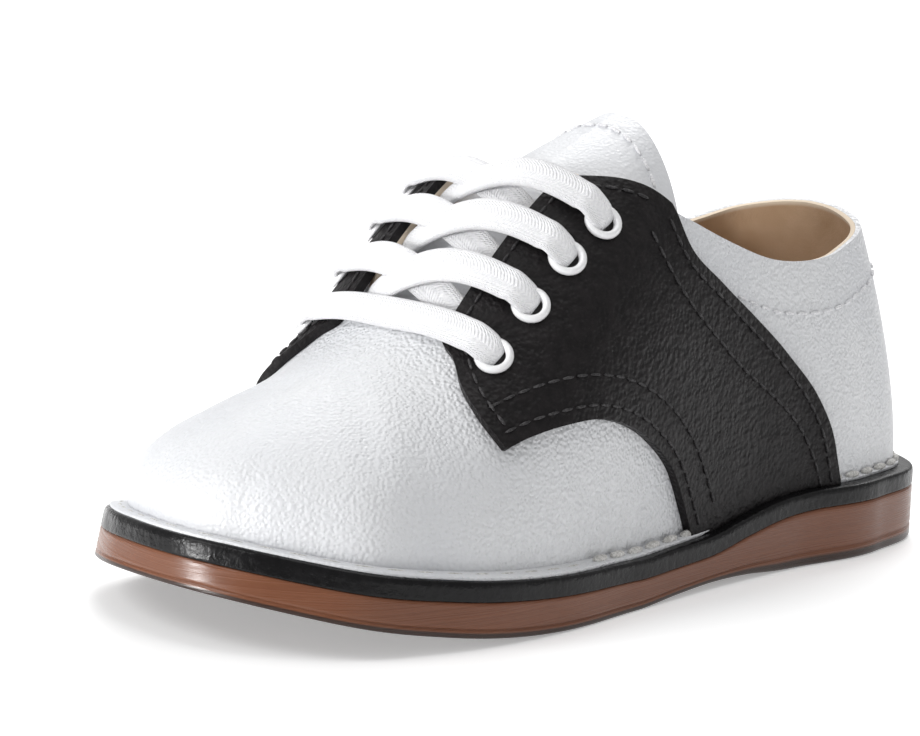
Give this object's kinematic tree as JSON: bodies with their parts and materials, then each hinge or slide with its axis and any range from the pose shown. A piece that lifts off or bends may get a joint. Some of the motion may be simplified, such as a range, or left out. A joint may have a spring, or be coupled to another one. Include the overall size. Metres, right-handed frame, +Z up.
{
  "type": "saddle shoe",
  "caption": "Child's lace-up saddle shoe, right foot: white leather upper, black saddle over the instep, black midsole, brown rubber sole with a low heel.",
  "frame": {"origin": "bottom centre of the shoe's bounding box, on the floor that it stands on", "axes": "+Y along the shoe towards the heel, toe to -Y; +X to the inner (big toe) side; +Z up"},
  "size_m": [0.0651, 0.1499, 0.0687],
  "materials": {
    "white_leather": "satin",
    "black_leather": "satin",
    "black_welt": "satin",
    "brown_rubber": "satin",
    "tan_lining": "matte",
    "white_cotton": "matte",
    "white_enamel": "gloss"
  },
  "bodies": {
    "root": {"outsole": "brown_rubber", "midsole": "black_welt", "insole": "tan_lining", "upper": "white_leather", "tongue": "white_leather", "saddle_inner": "black_leather", "saddle_outer": "black_leather", "eyelet_inner_1": "white_enamel", "eyelet_inner_2": "white_enamel", "eyelet_inner_3": "white_enamel", "eyelet_inner_4": "white_enamel", "eyelet_outer_1": "white_enamel", "eyelet_outer_2": "white_enamel", "eyelet_outer_3": "white_enamel", "eyelet_outer_4": "white_enamel", "lace_bar": "white_cotton", "lace_crossing_1": "white_cotton", "lace_crossing_2": "white_cotton", "lace_crossing_3": "white_cotton"}
  },
  "joints": []
}
